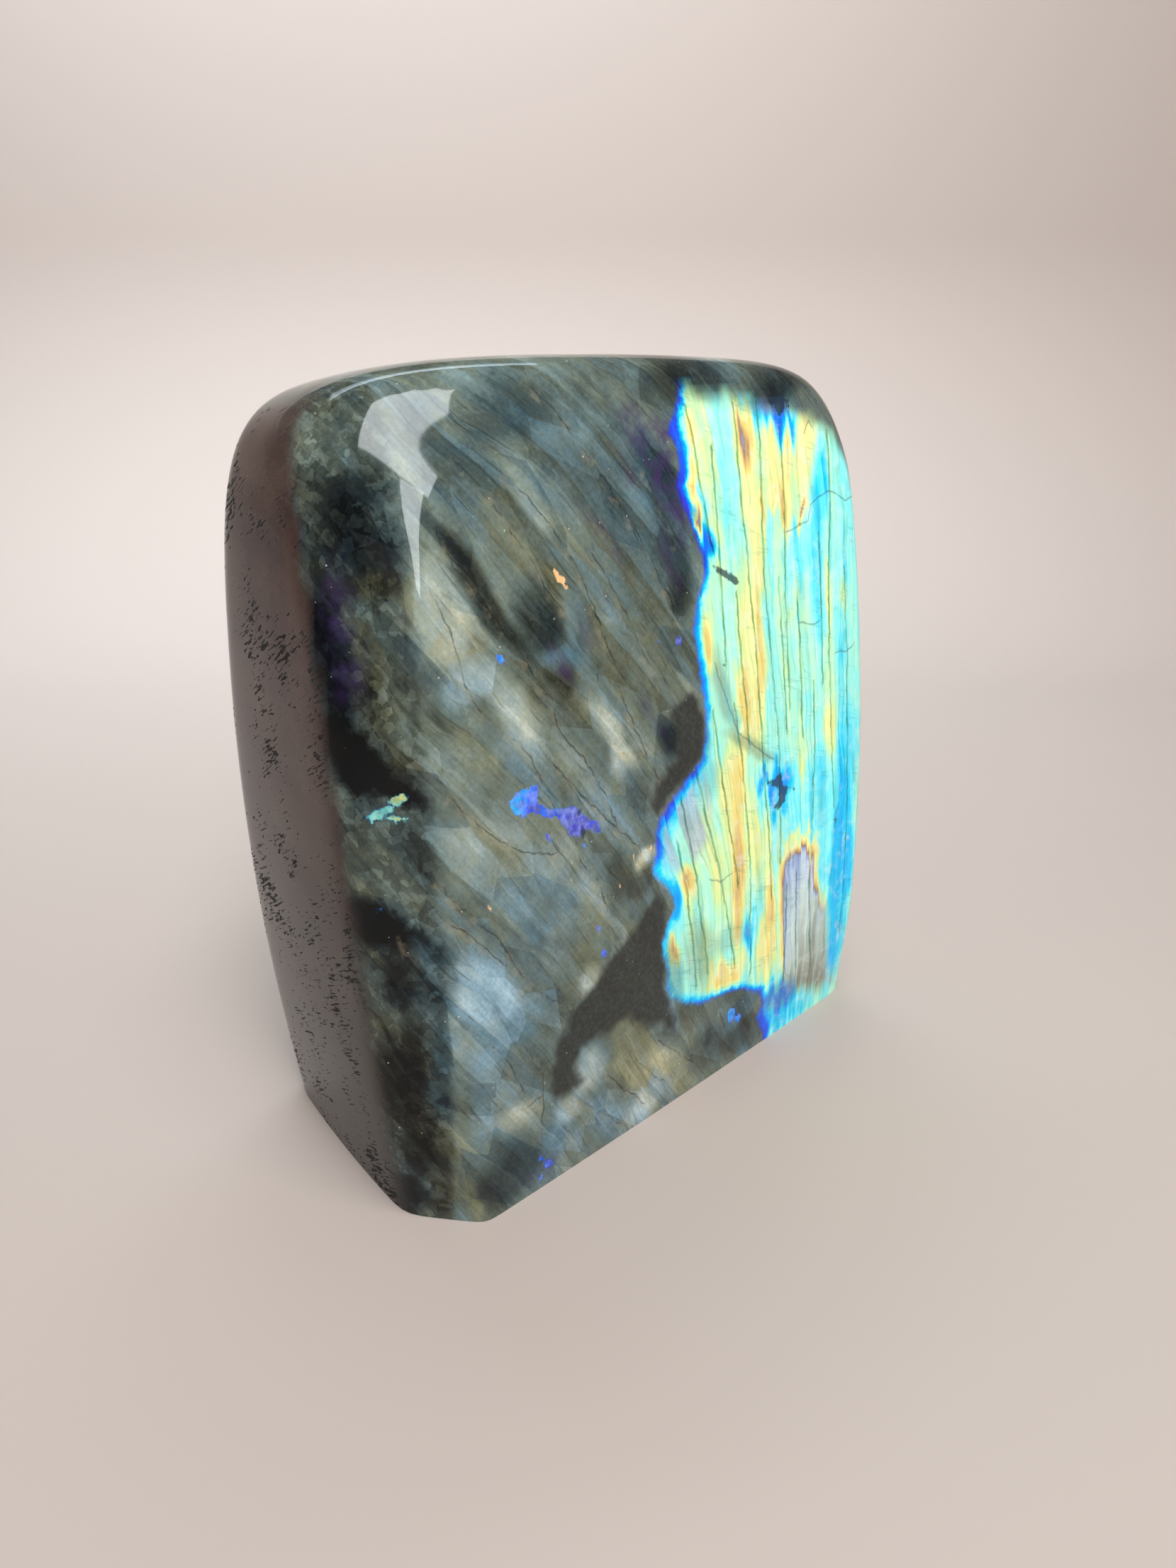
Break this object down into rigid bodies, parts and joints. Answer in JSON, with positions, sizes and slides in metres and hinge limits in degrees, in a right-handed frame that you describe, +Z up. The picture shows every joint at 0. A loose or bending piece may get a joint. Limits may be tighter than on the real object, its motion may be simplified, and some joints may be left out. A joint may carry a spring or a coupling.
{
  "type": "polished labradorite free form",
  "caption": "Upright polished block of labradorite with bowed faces, rounded shoulders, a wide facet on one front edge and a flat sawn base it stands on.",
  "frame": {"origin": "under the middle of the stone, on the plane of its flat base", "axes": "+Z up along the height, +X toward the stone's right, front face toward -Y"},
  "size_m": [0.1158, 0.0556, 0.12],
  "materials": {
    "polished_labradorite": "high polish over dark grey-green feldspar, with a band of blue, green and gold flash"
  },
  "bodies": {
    "root": {"labradorite_stone": "polished_labradorite"}
  },
  "joints": []
}
